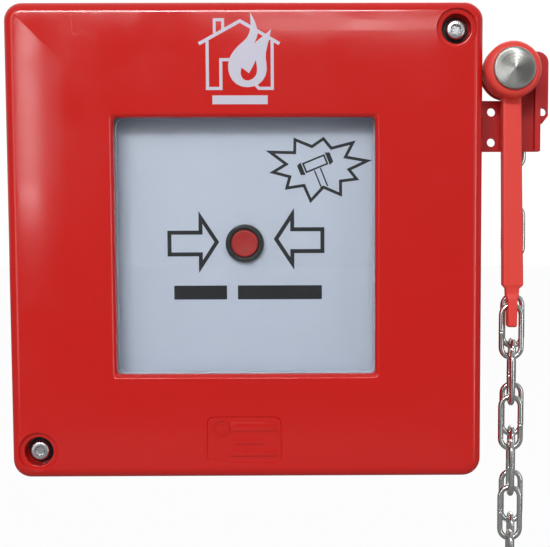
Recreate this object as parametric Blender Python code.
"""Manual call point with a tethered break-glass hammer.

Metres, +Z up, +X to the right. The wall is the plane y = 0 and the front faces -Y.
The origin is the centre of the rear case's back face.
"""
import bpy
import bmesh
from math import atan2, cos, pi, radians, sin
from mathutils import Matrix, Vector

MM = 0.001
GAP = 0.3 * MM                      # free space kept between touching pieces

# ---- case ---------------------------------------------------------------
CASE = 132 * MM                     # width and height
FRONT_Y = -52 * MM                  # front face of the cover
WALL = 3 * MM                       # moulded wall
CORNER = 5 * MM                     # corner radius seen from the front
COVER_RIM_Y = -26.5 * MM            # rear rim of the cover
CASE_RIM_Y = -24.5 * MM             # front rim of the rear case
SCREW_AT = 58.6 * MM                # cover screws, from the centre both ways

# ---- window -------------------------------------------------------------
WINDOW_X = 72.2 * MM                # clear opening
WINDOW_Z = 71.2 * MM
WINDOW_MID_Z = -1.1 * MM
BEVEL = 1.5 * MM                    # sloping edge round the opening
GLASS_X = 77 * MM
GLASS_Z = 76 * MM
GLASS_Y = (-47.9 * MM, -45.9 * MM)
RETAINER_SCREW = (42.5 * MM, 28 * MM)

# ---- label plate and button ---------------------------------------------
LABEL = 98 * MM
LABEL_Y = (-41.5 * MM, -40 * MM)
LABEL_SCREW = 44 * MM
BUTTON_X = -0.5 * MM
BUTTON_Z = -0.3 * MM
BUTTON_TRAVEL = 2.5 * MM
BARREL_R = 4.5 * MM
BORE_R = 4.15 * MM
BARREL_END_Y = -30 * MM
CAP_BACK_Y = -37 * MM
STEM_R = 1.5 * MM
STEM_TIP_Y = -26.9 * MM

# ---- switch and board ---------------------------------------------------
LEVER_ARM = 8.4 * MM                # pivot to the stem's axis
PIVOT_X = BUTTON_X - LEVER_ARM
PIVOT_Y = -23.2 * MM
LEVER_REST = atan2(BUTTON_TRAVEL * 1.02, LEVER_ARM)
BOARD_Y = (-9.6 * MM, -8 * MM)
BOARD_SCREW = (36 * MM, 26 * MM)
TERMINAL_Z = -19 * MM
TERMINAL_PITCH = 6 * MM

# ---- hammer -------------------------------------------------------------
HEAD_X = 74.3 * MM
HEAD_Z = 47.5 * MM
HEAD_R = 7.8 * MM
STRIKER_R = 5.8 * MM
STUB_R = 5.2 * MM                   # rear spigot that rests in the cradle
HANDLE_Y = -45 * MM
EYE_X = 75.3 * MM                   # eye at the handle's lower end
EYE_Z = -18 * MM
EYE_R = 1.5 * MM

# ---- bracket ------------------------------------------------------------
SHEET = 1.5 * MM
PLATE_Y = (-39 * MM, -37.5 * MM)    # the plate that carries the hammer
PLATE_LEFT = CASE / 2 + GAP
PLATE_RIGHT = 83.6 * MM
PLATE_BOTTOM = 25.6 * MM
TAB_TOP = 40 * MM
EAR_RIGHT = 86.2 * MM
EAR_TOP = 53.9 * MM
CRADLE_R = 5.6 * MM
BRACKET_SCREW = (-13 * MM, (29.5 * MM, 36.5 * MM))

# ---- chain --------------------------------------------------------------
WIRE = 1.6 * MM
LINK_LENGTH = 16.5 * MM
LINK_WIDTH = 7.2 * MM
PITCH = LINK_LENGTH - 2 * WIRE - 0.2 * MM
STRAND_A = Vector((EYE_X, HANDLE_Y, EYE_Z - EYE_R + GAP + WIRE - LINK_LENGTH / 2 + 0.4 * MM))
STRAND_B = Vector((77.6 * MM, -32 * MM, 29 * MM))
LINKS_A = 6
LINKS_B = 10
LUG_HOLE_R = 2 * MM

COLOURS = {
    "red_moulding": ((0.56, 0.021, 0.018, 1), 0.22, 0.0),
    "red_handle": ((0.70, 0.035, 0.018, 1), 0.32, 0.0),
    "red_paint": ((0.36, 0.012, 0.012, 1), 0.35, 0.0),
    "steel": ((0.62, 0.63, 0.64, 1), 0.28, 1.0),
    "zinc": ((0.68, 0.70, 0.71, 1), 0.30, 1.0),
    "brass": ((0.72, 0.53, 0.22, 1), 0.35, 1.0),
    "glass": ((0.92, 0.96, 0.95, 0.25), 0.05, 0.0),
    "white": ((0.62, 0.70, 0.78, 1), 0.40, 0.0),
    "black": ((0.02, 0.02, 0.02, 1), 0.40, 0.0),
    "button_red": ((0.50, 0.02, 0.02, 1), 0.35, 0.0),
    "rubber": ((0.03, 0.03, 0.03, 1), 0.80, 0.0),
    "green_board": ((0.02, 0.16, 0.07, 1), 0.45, 0.0),
    "grey": ((0.45, 0.46, 0.46, 1), 0.50, 0.0),
}

ALONG_Y = Matrix.Rotation(radians(90), 4, "X")      # turns a +Z axis to -Y
ALONG_X = Matrix.Rotation(radians(90), 4, "Y")      # turns a +Z axis to +X


# ---- scene and materials ------------------------------------------------
def clear_scene():
    for obj in list(bpy.data.objects):
        bpy.data.objects.remove(obj, do_unlink=True)


def new_collection(name):
    collection = bpy.data.collections.new(name)
    bpy.context.scene.collection.children.link(collection)
    return collection


clear_scene()
PARTS = new_collection("manual_call_point")
CUTTERS = new_collection("cutters")


def material(name):
    found = bpy.data.materials.get(name)
    if found:
        return found
    colour, rough, metal = COLOURS[name]
    mat = bpy.data.materials.new(name)
    mat.use_nodes = True
    shader = mat.node_tree.nodes["Principled BSDF"]
    shader.inputs["Base Color"].default_value = colour
    shader.inputs["Roughness"].default_value = rough
    shader.inputs["Metallic"].default_value = metal
    return mat


# ---- shapes -------------------------------------------------------------
def finish(name, bm, mat=None, smooth=True):
    """Put a bmesh in a new object: a part when it has a material, else a cutter."""
    bmesh.ops.recalc_face_normals(bm, faces=bm.faces)
    mesh = bpy.data.meshes.new(name)
    bm.to_mesh(mesh)
    bm.free()
    obj = bpy.data.objects.new(name, mesh)
    if mat:
        mesh.materials.append(material(mat))
        PARTS.objects.link(obj)
        if smooth:
            mesh.shade_smooth()
            mesh.set_sharp_from_angle(angle=radians(35))
    else:
        CUTTERS.objects.link(obj)
        obj.display_type = "WIRE"
        obj.hide_render = True
    return obj


def block(name, low, high, mat=None):
    """A box between two corners."""
    low, high = Vector(low), Vector(high)
    bm = bmesh.new()
    bmesh.ops.create_cube(bm, size=1)
    bmesh.ops.scale(bm, vec=high - low, verts=bm.verts)
    bmesh.ops.translate(bm, vec=(low + high) / 2, verts=bm.verts)
    return finish(name, bm, mat, smooth=False)


def edges_along_y(bm):
    return [e for e in bm.edges if abs((e.verts[0].co - e.verts[1].co).normalized().y) > 0.9]


def rounded_block(name, size_x, size_z, y_range, corner, mat=None, mid_z=0.0, front_edge=0.0):
    """A box centred on x = 0 whose corners are rounded as seen from the front."""
    y0, y1 = y_range
    bm = bmesh.new()
    bmesh.ops.create_cube(bm, size=1)
    bmesh.ops.scale(bm, vec=(size_x, y1 - y0, size_z), verts=bm.verts)
    bmesh.ops.translate(bm, vec=(0, (y0 + y1) / 2, mid_z), verts=bm.verts)
    bmesh.ops.bevel(bm, geom=edges_along_y(bm), offset=corner, segments=5,
                    profile=0.5, affect="EDGES")
    if front_edge:
        rim = [e for e in bm.edges if all(abs(v.co.y - y0) < 1e-6 for v in e.verts)]
        bmesh.ops.bevel(bm, geom=rim, offset=front_edge, segments=4, profile=0.5, affect="EDGES")
    return finish(name, bm, mat)


def tapered_block(name, front, rear, y_range, mid_z):
    """A cutter that narrows from its front rectangle to its rear one."""
    y0, y1 = y_range
    bm = bmesh.new()
    bmesh.ops.create_cube(bm, size=1)
    for v in bm.verts:
        size_x, size_z = front if v.co.y < 0 else rear
        y = y0 if v.co.y < 0 else y1
        v.co = Vector((v.co.x * size_x, y, v.co.z * size_z + mid_z))
    return finish(name, bm)


def turned(name, profile, place, turn=None, mat=None, sides=24):
    """A solid of revolution: profile is (radius, distance along the axis) pairs, on -Y by default."""
    bm = bmesh.new()
    points = [bm.verts.new((radius, 0, along)) for radius, along in profile]
    edges = [bm.edges.new(pair) for pair in zip(points, points[1:] + points[:1])]
    bmesh.ops.spin(bm, geom=points + edges, cent=(0, 0, 0), axis=(0, 0, 1),
                   angle=2 * pi, steps=sides, use_merge=True, use_duplicate=False)
    bmesh.ops.remove_doubles(bm, verts=bm.verts, dist=1e-7)
    bmesh.ops.dissolve_degenerate(bm, edges=bm.edges, dist=1e-8)
    turn = ALONG_Y if turn is None else turn
    bmesh.ops.transform(bm, matrix=Matrix.Translation(Vector(place)) @ turn, verts=bm.verts)
    return finish(name, bm, mat)


def rod(name, radius, y_range, x, z, mat=None, sides=24):
    """A plain cylinder along Y between two depths."""
    y0, y1 = y_range
    bm = bmesh.new()
    bmesh.ops.create_cone(bm, cap_ends=True, segments=sides, radius1=radius, radius2=radius, depth=y1 - y0)
    bmesh.ops.transform(bm, matrix=Matrix.Translation((x, (y0 + y1) / 2, z)) @ ALONG_Y, verts=bm.verts)
    return finish(name, bm, mat)


def cross_rod(name, radius, x_range, y, z, mat=None, sides=16):
    """A plain cylinder along X."""
    x0, x1 = x_range
    bm = bmesh.new()
    bmesh.ops.create_cone(bm, cap_ends=True, segments=sides, radius1=radius, radius2=radius, depth=x1 - x0)
    bmesh.ops.transform(bm, matrix=Matrix.Translation(((x0 + x1) / 2, y, z)) @ ALONG_X, verts=bm.verts)
    return finish(name, bm, mat)


def combine(target, others, operation):
    for other in others:
        mod = target.modifiers.new(operation.lower(), "BOOLEAN")
        mod.operation = operation
        mod.solver = "EXACT"
        mod.object = other
    return target


def cut(target, *cutters):
    return combine(target, cutters, "DIFFERENCE")


def join(target, *pieces):
    return combine(target, pieces, "UNION")


def ring(name, outer, inner, y_range, corner, mat, mid_z=0.0):
    """A flat rectangular frame; outer and inner are (width, height)."""
    y0, y1 = y_range
    frame = rounded_block(name, outer[0], outer[1], y_range, corner, mat, mid_z)
    hole = rounded_block(name + "_hole", inner[0], inner[1], (y0 - 1 * MM, y1 + 1 * MM),
                         max(corner - 1 * MM, 0.5 * MM), None, mid_z)
    return cut(frame, hole)


def diagonal_corners():
    """The cover screws: upper right and lower left."""
    return (("upper", SCREW_AT, SCREW_AT), ("lower", -SCREW_AT, -SCREW_AT))


def four(x, z):
    return [(sx * x, sz * z) for sz in (1, -1) for sx in (-1, 1)]


# ---- rear case ----------------------------------------------------------
def rear_case():
    inner = CASE - 2 * WALL
    case = rounded_block("rear_case", CASE, CASE, (CASE_RIM_Y, 0), CORNER, "red_moulding")
    cut(case, rounded_block("case_hollow", inner, inner, (CASE_RIM_Y - 1 * MM, -WALL), CORNER - 2 * MM))
    root = -WALL + 0.5 * MM                          # posts start inside the back wall
    for name, x, z in diagonal_corners():
        join(case, rod("case_boss_" + name, 5.5 * MM, (CASE_RIM_Y, root), x, z))
        cut(case, rod("insert_hole_" + name, 2.8 * MM, (CASE_RIM_Y - 1 * MM, -15.5 * MM), x, z, sides=16))
    for i, (x, z) in enumerate(four(LABEL_SCREW, LABEL_SCREW)):
        join(case, rod(f"label_pillar_{i}", 3.5 * MM, (LABEL_Y[1] + GAP, root), x, z, sides=16))
        if i in (0, 3):
            cut(case, rod(f"pillar_hole_{i}", 1.4 * MM, (LABEL_Y[0], -32 * MM), x, z, sides=12))
    for i, (x, z) in enumerate(four(*BOARD_SCREW)):
        join(case, rod(f"board_post_{i}", 3 * MM, (BOARD_Y[1] + GAP, root), x, z, sides=16))
        cut(case, rod(f"post_hole_{i}", 1.2 * MM, (BOARD_Y[0], -3.5 * MM), x, z, sides=12))
    for i, (x, z) in enumerate(four(50 * MM, 35 * MM)):
        cut(case, rod(f"wall_hole_{i}", 2.25 * MM, (-4 * MM, 1 * MM), x, z, sides=16))
    cut(case, rod("cable_entry", 7 * MM, (-4 * MM, 1 * MM), 0, -45 * MM))
    screw_y, screw_z = BRACKET_SCREW
    for i, z in enumerate(screw_z):
        cut(case, cross_rod(f"side_hole_{i}", 1.8 * MM, (CASE / 2 - 4 * MM, CASE / 2 + 1 * MM), screw_y, z))


def cable_grommet():
    """A rubber sleeve in the cable entry, held by a flange inside the case."""
    sleeve = 7 * MM - GAP
    inside = WALL + GAP
    turned("cable_grommet",
           [(4 * MM, 0.1 * MM), (sleeve, 0.1 * MM), (sleeve, inside), (9 * MM, inside),
            (8.6 * MM, inside + 1.5 * MM), (6 * MM, inside + 3 * MM), (4 * MM, inside + 3 * MM)],
           (0, 0, -45 * MM), mat="rubber")


# ---- front cover --------------------------------------------------------
def front_cover():
    inner = CASE - 2 * WALL
    panel_back = FRONT_Y + WALL
    cover = rounded_block("front_cover", CASE, CASE, (FRONT_Y, COVER_RIM_Y), CORNER, "red_moulding",
                          front_edge=WALL)
    cut(cover, rounded_block("cover_hollow", inner, inner, (panel_back, COVER_RIM_Y + 1 * MM),
                             CORNER - 2 * MM))
    for name, x, z in diagonal_corners():
        join(cover, rod("cover_boss_" + name, 6.8 * MM, (panel_back - 1 * MM, COVER_RIM_Y), x, z, sides=32))
    for i, (x, z) in enumerate(four(*RETAINER_SCREW)):
        join(cover, rod(f"retainer_boss_{i}", 2.3 * MM, (panel_back - 0.5 * MM, -45.9 * MM), x,
                        z + WINDOW_MID_Z, sides=16))
        cut(cover, rod(f"retainer_hole_{i}", 1.2 * MM, (-49.5 * MM, -45 * MM), x,
                       z + WINDOW_MID_Z, sides=12))
    opening = (WINDOW_X, WINDOW_Z)
    wide = (WINDOW_X + 2 * BEVEL + 0.4 * MM, WINDOW_Z + 2 * BEVEL + 0.4 * MM)
    cut(cover, tapered_block("window_bevel", wide, opening, (FRONT_Y - 0.2 * MM, FRONT_Y + BEVEL), WINDOW_MID_Z))
    cut(cover, tapered_block("window_throat", opening, opening,
                             (FRONT_Y + BEVEL - 0.1 * MM, panel_back + 1 * MM), WINDOW_MID_Z))
    for name, x, z in diagonal_corners():
        cut(cover,
            rod("screw_well_" + name, 5.5 * MM, (FRONT_Y - 1 * MM, -50.4 * MM), x, z, sides=32),
            rod("head_well_" + name, 4.1 * MM, (-51 * MM, -46 * MM), x, z, sides=32),
            rod("shank_hole_" + name, 1.9 * MM, (-47 * MM, COVER_RIM_Y + 1 * MM), x, z, sides=16))


def cover_fasteners():
    for name, x, z in diagonal_corners():
        socket = rod("hex_socket_" + name, 1.45 * MM, (-50 * MM, -47.9 * MM), x, z, sides=6)
        screw = turned("cover_screw_" + name,
                       [(0, 49.4 * MM), (2.5 * MM, 49.4 * MM), (2.75 * MM, 49.1 * MM), (2.75 * MM, 46.9 * MM),
                        (1.5 * MM, 46.9 * MM), (1.5 * MM, 18 * MM), (1.2 * MM, 17.6 * MM), (0, 17.6 * MM)],
                       (x, 0, z), mat="steel")
        cut(screw, socket)
        turned("screw_washer_" + name,
               [(1.8 * MM, 46.7 * MM), (3.6 * MM, 46.7 * MM), (3.6 * MM, 46.2 * MM), (1.8 * MM, 46.2 * MM)],
               (x, 0, z), mat="steel")
        turned("thread_insert_" + name,
               [(1.8 * MM, 24.2 * MM), (2.5 * MM, 24.2 * MM), (2.5 * MM, 16 * MM), (1.8 * MM, 16 * MM)],
               (x, 0, z), mat="brass", sides=16)


def seals():
    outer = CASE - 1.2 * MM
    inner = CASE - 2 * WALL + 0.8 * MM
    ring("cover_gasket", (outer, outer), (inner, inner),
         (COVER_RIM_Y + GAP, CASE_RIM_Y - GAP), CORNER - 0.6 * MM, "rubber")
    ring("glass_gasket", (GLASS_X, GLASS_Z), (WINDOW_X + 0.6 * MM, WINDOW_Z + 0.6 * MM),
         (-48.7 * MM, -48.2 * MM), 2 * MM, "rubber", WINDOW_MID_Z)


def glass_and_retainer():
    rounded_block("glass_pane", GLASS_X, GLASS_Z, GLASS_Y, 0.8 * MM, "glass", WINDOW_MID_Z)
    plate = ring("glass_retainer", (93 * MM, 80 * MM), (WINDOW_X, WINDOW_Z),
                 (GLASS_Y[1] + GAP, GLASS_Y[1] + GAP + 1.7 * MM), 3 * MM, "black", WINDOW_MID_Z)
    for i, (x, z) in enumerate(four(*RETAINER_SCREW), start=1):
        z += WINDOW_MID_Z
        cut(plate, rod(f"retainer_clear_{i}", 1.3 * MM, (-47 * MM, -43 * MM), x, z, sides=12))
        turned(f"retainer_screw_{i}",
               [(0, 42.4 * MM), (1.4 * MM, 42.4 * MM), (2 * MM, 42.9 * MM), (2 * MM, 43.6 * MM),
                (0.9 * MM, 43.6 * MM), (0.9 * MM, 48.6 * MM), (0, 48.6 * MM)],
               (x, 0, z), mat="steel", sides=16)


# ---- label plate and button ---------------------------------------------
def label_plate():
    plate = rounded_block("label_plate", LABEL, LABEL, LABEL_Y, 3 * MM, "white")
    cut(plate, rod("button_hole", BARREL_R + GAP, (-43 * MM, -39 * MM), BUTTON_X, BUTTON_Z))
    for i in (0, 3):
        x, z = four(LABEL_SCREW, LABEL_SCREW)[i]
        cut(plate, rod(f"label_clear_{i}", 1.5 * MM, (-43 * MM, -39 * MM), x, z, sides=12))
        turned(f"label_screw_{'upper' if i == 0 else 'lower'}",
               [(0, 43.2 * MM), (1.8 * MM, 43.2 * MM), (2.5 * MM, 42.6 * MM), (2.5 * MM, 41.8 * MM),
                (1.1 * MM, 41.8 * MM), (1.1 * MM, 33 * MM), (0, 33 * MM)],
               (x, 0, z), mat="steel", sides=16)


def push_button():
    place = (BUTTON_X, 0, BUTTON_Z)
    turned("button_bezel",
           [(BORE_R, 43.4 * MM), (5.1 * MM, 43.4 * MM), (5.4 * MM, 43.1 * MM), (5.4 * MM, 41.8 * MM),
            (BARREL_R, 41.8 * MM), (BARREL_R, -BARREL_END_Y), (STEM_R + GAP, -BARREL_END_Y),
            (STEM_R + GAP, -BARREL_END_Y + 1.5 * MM), (BORE_R, -BARREL_END_Y + 1.5 * MM)],
           place, mat="black", sides=32)
    nut = rod("button_nut", 6.9 * MM, (LABEL_Y[1] + GAP, LABEL_Y[1] + 3.3 * MM), BUTTON_X, BUTTON_Z,
              "black", sides=6)
    cut(nut, rod("nut_bore", BARREL_R + GAP, (-41 * MM, -35 * MM), BUTTON_X, BUTTON_Z))
    cap_r = BORE_R - 0.25 * MM
    turned("button_cap",
           [(0, 42.7 * MM), (cap_r - 0.5 * MM, 42.7 * MM), (cap_r, 42.2 * MM), (cap_r, -CAP_BACK_Y),
            (STEM_R, -CAP_BACK_Y), (STEM_R, -STEM_TIP_Y), (0, -STEM_TIP_Y)],
           place, mat="button_red", sides=32)
    clip_y = -BARREL_END_Y - GAP
    turned("stem_clip",
           [(STEM_R + 0.1 * MM, clip_y), (3 * MM, clip_y), (3 * MM, clip_y - 0.6 * MM),
            (STEM_R + 0.1 * MM, clip_y - 0.6 * MM)],
           place, mat="steel")


def button_spring():
    """A compression spring round the stem, between the cap and the barrel's end wall."""
    radius, wire, turns, steps = 2.75 * MM, 0.3 * MM, 3.5, 12
    start = CAP_BACK_Y + GAP + wire
    length = BARREL_END_Y - 1.5 * MM - GAP - wire - start
    curve = bpy.data.curves.new("button_spring", "CURVE")
    curve.dimensions = "3D"
    curve.bevel_depth = wire
    curve.bevel_resolution = 1
    curve.use_fill_caps = True
    spline = curve.splines.new("POLY")
    count = int(turns * steps) + 1
    spline.points.add(count - 1)
    for i, point in enumerate(spline.points):
        angle = 2 * pi * i / steps
        point.co = (BUTTON_X + radius * cos(angle), start + length * i / (count - 1),
                    BUTTON_Z + radius * sin(angle), 1)
    curve.materials.append(material("steel"))
    PARTS.objects.link(bpy.data.objects.new("button_spring", curve))


# ---- switch, board and terminals ----------------------------------------
def switch():
    face_y = PIVOT_Y + 1.3 * MM
    body = block("switch_body", (PIVOT_X - 2 * MM, face_y, BUTTON_Z - 5 * MM),
                 (BUTTON_X + 8 * MM, BOARD_Y[0] - GAP, BUTTON_Z + 5 * MM), "black")
    for side in (-1, 1):
        z0, z1 = sorted((BUTTON_Z + side * 3.3 * MM, BUTTON_Z + side * 4.6 * MM))
        ear = block(f"switch_ear_{side}", (PIVOT_X - 1.6 * MM, PIVOT_Y - 1.6 * MM, z0),
                    (PIVOT_X + 1.6 * MM, face_y + 0.5 * MM, z1))
        join(body, ear)
    bm = bmesh.new()
    bmesh.ops.create_cone(bm, cap_ends=True, segments=12, radius1=0.9 * MM, radius2=0.9 * MM, depth=11 * MM)
    bmesh.ops.translate(bm, vec=(PIVOT_X, PIVOT_Y, BUTTON_Z), verts=bm.verts)
    cut(body, finish("pivot_hole", bm))


def switch_lever():
    """A plate with a trunnion on its pivot, which the stem swings towards the switch."""
    pivot = bpy.data.objects.new("lever_pivot", None)
    pivot.location = (PIVOT_X, PIVOT_Y, BUTTON_Z)
    pivot.rotation_euler = (0, 0, -LEVER_REST)
    PARTS.objects.link(pivot)
    lever = block("switch_lever", (0, -0.3 * MM, -2.6 * MM), (13 * MM, 0.3 * MM, 2.6 * MM), "brass")
    bm = bmesh.new()
    bmesh.ops.create_cone(bm, cap_ends=True, segments=12, radius1=0.6 * MM, radius2=0.6 * MM, depth=9 * MM)
    trunnion = finish("trunnion", bm)
    join(lever, trunnion)
    lever.parent = pivot
    trunnion.parent = pivot


def circuit_board():
    board = rounded_block("circuit_board", 84 * MM, 64 * MM, BOARD_Y, 2 * MM, "green_board")
    for i, (x, z) in enumerate(four(*BOARD_SCREW), start=1):
        cut(board, rod(f"board_clear_{i}", 1.3 * MM, (-11 * MM, -7 * MM), x, z, sides=12))
        turned(f"board_screw_{i}",
               [(0, 11.3 * MM), (1.6 * MM, 11.3 * MM), (2.2 * MM, 10.8 * MM), (2.2 * MM, 9.9 * MM),
                (0.9 * MM, 9.9 * MM), (0.9 * MM, 4 * MM), (0, 4 * MM)],
               (x, 0, z), mat="steel", sides=16)


def terminals():
    half = 2 * TERMINAL_PITCH
    front = -21 * MM
    body = block("terminal_block", (-half, front, TERMINAL_Z - 4.5 * MM),
                 (half, BOARD_Y[0] - GAP, TERMINAL_Z + 4.5 * MM), "grey")
    for i in range(4):
        x = (i - 1.5) * TERMINAL_PITCH
        wire_hole = block(f"wire_way_{i}", (x - 1.6 * MM, -14.5 * MM, TERMINAL_Z - 5 * MM),
                          (x + 1.6 * MM, -11.5 * MM, TERMINAL_Z + 2 * MM))
        well = rod(f"terminal_well_{i}", 2.1 * MM, (front - 1 * MM, -13 * MM), x, TERMINAL_Z, sides=16)
        cut(body, wire_hole, well)
        screw = turned(f"terminal_screw_{i + 1}",
                       [(0, 20 * MM), (1.5 * MM, 20 * MM), (1.75 * MM, 19.7 * MM), (1.75 * MM, 18 * MM),
                        (1.3 * MM, 17.8 * MM), (1.3 * MM, 15 * MM), (0, 15 * MM)],
                       (x, 0, TERMINAL_Z), mat="steel", sides=16)
        cut(screw, block(f"slot_{i}", (x - 2 * MM, -21 * MM, TERMINAL_Z - 0.25 * MM),
                         (x + 2 * MM, -19.4 * MM, TERMINAL_Z + 0.25 * MM)))


# ---- hammer -------------------------------------------------------------
def hammer():
    """Handle and head in one moulding; the steel striker goes through the head."""
    handle = turned("hammer_handle",
                    [(2.3 * MM, 53 * MM), (6 * MM, 53 * MM), (6.9 * MM, 52.6 * MM), (HEAD_R, 51.2 * MM),
                     (HEAD_R, 43.6 * MM), (7.2 * MM, 42.6 * MM), (STUB_R + 0.6 * MM, 42.3 * MM),
                     (STUB_R, 41.8 * MM), (STUB_R, 35.6 * MM), (2.3 * MM, 35.6 * MM)],
                    (HEAD_X, 0, HEAD_Z), mat="red_handle", sides=32)
    bm = bmesh.new()
    bmesh.ops.create_cube(bm, size=1)
    top_z, shoulder_z = HEAD_Z - HEAD_R + 2 * MM, -10.8 * MM
    for v in bm.verts:
        upper = v.co.z > 0
        mid_x = 74.55 * MM if upper else 75.4 * MM
        width = 5.2 * MM if upper else 5.7 * MM
        z = top_z if upper else shoulder_z
        v.co = Vector((mid_x + v.co.x * width, HANDLE_Y + v.co.y * 5 * MM, z))
    upright = [e for e in bm.edges if abs((e.verts[0].co - e.verts[1].co).normalized().z) > 0.9]
    bmesh.ops.bevel(bm, geom=upright, offset=1.1 * MM, segments=2, profile=0.5, affect="EDGES")
    shaft = finish("hammer_shaft", bm)
    neck = block("hammer_neck", (EYE_X - 1.85 * MM, HANDLE_Y - 1.9 * MM, -16.4 * MM),
                 (EYE_X + 1.85 * MM, HANDLE_Y + 1.9 * MM, shoulder_z + 1 * MM))
    bm = bmesh.new()
    bmesh.ops.create_cube(bm, size=1)
    bmesh.ops.scale(bm, vec=(2.6 * MM, 5.2 * MM, 10 * MM), verts=bm.verts)
    bmesh.ops.translate(bm, vec=(EYE_X, HANDLE_Y, -19.2 * MM), verts=bm.verts)
    low = [e for e in bm.edges if all(v.co.z < -24 * MM for v in e.verts)]
    bmesh.ops.bevel(bm, geom=low, offset=0.8 * MM, segments=1, profile=0.5, affect="EDGES")
    tongue = finish("hammer_tongue", bm)
    join(handle, shaft, neck, tongue)
    cut(handle, cross_rod("hammer_eye", EYE_R, (EYE_X - 4 * MM, EYE_X + 4 * MM), HANDLE_Y, EYE_Z))
    turned("hammer_striker",
           [(0, 54.6 * MM), (STRIKER_R - 0.5 * MM, 54.2 * MM), (STRIKER_R, 53.8 * MM), (STRIKER_R, 53.3 * MM),
            (2 * MM, 53.3 * MM), (2 * MM, 35.3 * MM), (3.6 * MM, 35.3 * MM), (3.4 * MM, 34.6 * MM), (0, 34.6 * MM)],
           (HEAD_X, 0, HEAD_Z), mat="steel", sides=32)


# ---- bracket ------------------------------------------------------------
def hammer_bracket():
    y0, y1 = PLATE_Y
    plate = block("hammer_bracket", (PLATE_LEFT, y0, PLATE_BOTTOM), (PLATE_RIGHT, y1, TAB_TOP), "red_paint")
    upper = block("bracket_upper", (77 * MM, y0, 33.5 * MM), (EAR_RIGHT, y1, EAR_TOP))
    cradle = rod("bracket_cradle", 7.5 * MM, PLATE_Y, HEAD_X, HEAD_Z, sides=40)
    lip = block("bracket_lip", (82 * MM, y0 - 3.2 * MM, PLATE_BOTTOM), (83.5 * MM, y1, EAR_TOP - 1 * MM))
    flange = block("bracket_flange", (PLATE_LEFT, y0, PLATE_BOTTOM), (PLATE_LEFT + SHEET, -7 * MM, TAB_TOP))
    lug = block("chain_lug", (STRAND_B.x - SHEET / 2, y1 - 0.5 * MM, PLATE_BOTTOM),
                (STRAND_B.x + SHEET / 2, STRAND_B.y + 4.5 * MM, TAB_TOP + 1.4 * MM))
    join(plate, cradle, upper, lip, flange, lug)
    slot_half = CRADLE_R
    open_top = block("cradle_slot", (HEAD_X - 9 * MM, y0 - 1 * MM, HEAD_Z + 1 * MM),
                     (HEAD_X + slot_half, y1 + 1 * MM, 60 * MM))
    notch = rod("cradle_notch", CRADLE_R, (y0 - 1 * MM, y1 + 1 * MM), HEAD_X, HEAD_Z, sides=40)
    corner = Matrix.Rotation(radians(38), 4, "Y")
    bm = bmesh.new()
    bmesh.ops.create_cube(bm, size=6 * MM)
    bmesh.ops.transform(bm, matrix=Matrix.Translation((EAR_RIGHT + 1.2 * MM, (y0 + y1) / 2, 32.4 * MM)) @ corner,
                        verts=bm.verts)
    chamfer = finish("ear_chamfer", bm)
    bm = bmesh.new()
    bmesh.ops.create_cube(bm, size=6 * MM)
    bmesh.ops.transform(bm, matrix=Matrix.Translation((EAR_RIGHT + 1.9 * MM, (y0 + y1) / 2, 55.7 * MM))
                        @ Matrix.Rotation(radians(-40), 4, "Y"), verts=bm.verts)
    top_chamfer = finish("ear_top_chamfer", bm)
    cut(plate, open_top, notch, chamfer, top_chamfer)
    holes = [(70 * MM, 36.8 * MM, 1.2 * MM), (70 * MM, 28.2 * MM, 1.2 * MM), (84.6 * MM, 36.8 * MM, 1.1 * MM)]
    for i, (x, z, radius) in enumerate(holes):
        cut(plate, rod(f"bracket_hole_{i}", radius, (y0 - 1 * MM, y1 + 1 * MM), x, z, sides=20))
    cut(plate, cross_rod("lug_hole", LUG_HOLE_R, (STRAND_B.x - 2 * MM, STRAND_B.x + 2 * MM),
                         STRAND_B.y, lug_hole_z(), sides=20))
    screw_y, screw_z = BRACKET_SCREW
    for i, z in enumerate(screw_z):
        cut(plate, cross_rod(f"flange_hole_{i}", 1.8 * MM, (PLATE_LEFT - 1 * MM, PLATE_LEFT + 3 * MM), screw_y, z))


def lug_hole_z():
    """The top link of the second strand hangs near the bottom of this hole."""
    top_wire = STRAND_B.z + LINK_LENGTH / 2 - WIRE / 2
    return top_wire - WIRE / 2 - GAP + LUG_HOLE_R


def bracket_screws():
    screw_y, screw_z = BRACKET_SCREW
    head = PLATE_LEFT + SHEET + GAP
    for name, z in zip(("lower", "upper"), screw_z):
        turned("bracket_screw_" + name,
               [(0, head + 1.8 * MM), (1.6 * MM, head + 1.8 * MM), (2.8 * MM, head + 1 * MM), (2.8 * MM, head),
                (1.5 * MM, head), (1.5 * MM, 58 * MM), (0, 58 * MM)],
               (0, screw_y, z), ALONG_X, "steel", sides=16)


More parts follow.
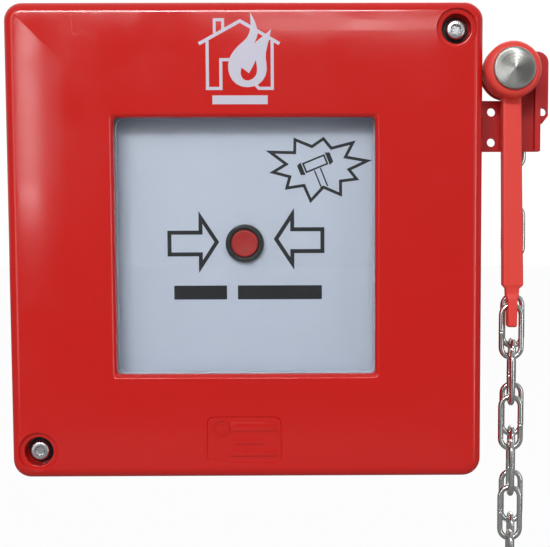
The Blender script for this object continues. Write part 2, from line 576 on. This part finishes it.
# ---- chain --------------------------------------------------------------
def link(name, matrix):
    """One oval link: its own long axis is Z and its flat side faces Y before it is placed."""
    bend_r = (LINK_WIDTH - WIRE) / 2
    straight = (LINK_LENGTH - LINK_WIDTH) / 2
    steps = 6
    curve = bpy.data.curves.new(name, "CURVE")
    curve.dimensions = "3D"
    curve.bevel_depth = WIRE / 2
    curve.bevel_resolution = 1
    spline = curve.splines.new("POLY")
    spline.use_cyclic_u = True
    spline.points.add(2 * (steps + 1) - 1)
    for end, sign in enumerate((1, -1)):
        for i in range(steps + 1):
            angle = pi * i / steps
            x = sign * bend_r * cos(angle)
            z = sign * (straight + bend_r * sin(angle))
            spline.points[end * (steps + 1) + i].co = (x, 0, z, 1)
    curve.materials.append(material("zinc"))
    obj = bpy.data.objects.new(name, curve)
    obj.matrix_world = matrix
    PARTS.objects.link(obj)


def strand(prefix, top, count):
    """Links hanging one below the other, each turned a quarter against its neighbour."""
    for i in range(count):
        turn = Matrix.Rotation(pi / 2 * (i % 2), 4, "Z")
        centre = top - Vector((0, 0, PITCH * i))
        link(f"{prefix}_{i + 1:02d}", Matrix.Translation(centre) @ turn)


def loop_ends():
    """Where the bottom link's end wires lie: inside the lowest link of each strand."""
    bend_mid = (LINK_LENGTH - LINK_WIDTH) / 2
    down = Vector((0, 0, bend_mid))
    end_a = STRAND_A - Vector((0, 0, PITCH * (LINKS_A - 1))) - down
    end_b = STRAND_B - Vector((0, 0, PITCH * (LINKS_B - 1))) - down
    drop = 0.45 * MM
    rise = end_b.z - end_a.z
    side = end_b.x - end_a.x
    reach = (LINK_LENGTH - WIRE) ** 2 - rise ** 2 - side ** 2
    spread = (reach ** 0.5 - (end_b.y - end_a.y)) / 2
    return end_a + Vector((0, -spread, -drop)), end_b + Vector((0, spread, -drop))


def bottom_link():
    """The link that closes the loop; it rocks on strand B's end about loop_ends()[1]."""
    end_a, end_b = loop_ends()
    long_axis = (end_b - end_a).normalized()
    across = long_axis.cross(Vector((0, 0, 1))).normalized()
    flat = long_axis.cross(across)
    turn = Matrix((across, flat, long_axis)).transposed().to_4x4()
    if turn.determinant() < 0:
        turn = Matrix((across, -flat, long_axis)).transposed().to_4x4()
    link("chain_loop_link", Matrix.Translation((end_a + end_b) / 2) @ turn)


def chain():
    strand("chain_a", STRAND_A, LINKS_A)
    strand("chain_b", STRAND_B, LINKS_B)
    bottom_link()


rear_case()
cable_grommet()
front_cover()
cover_fasteners()
seals()
glass_and_retainer()
label_plate()
push_button()
button_spring()
switch()
switch_lever()
circuit_board()
terminals()
hammer()
hammer_bracket()
bracket_screws()
chain()
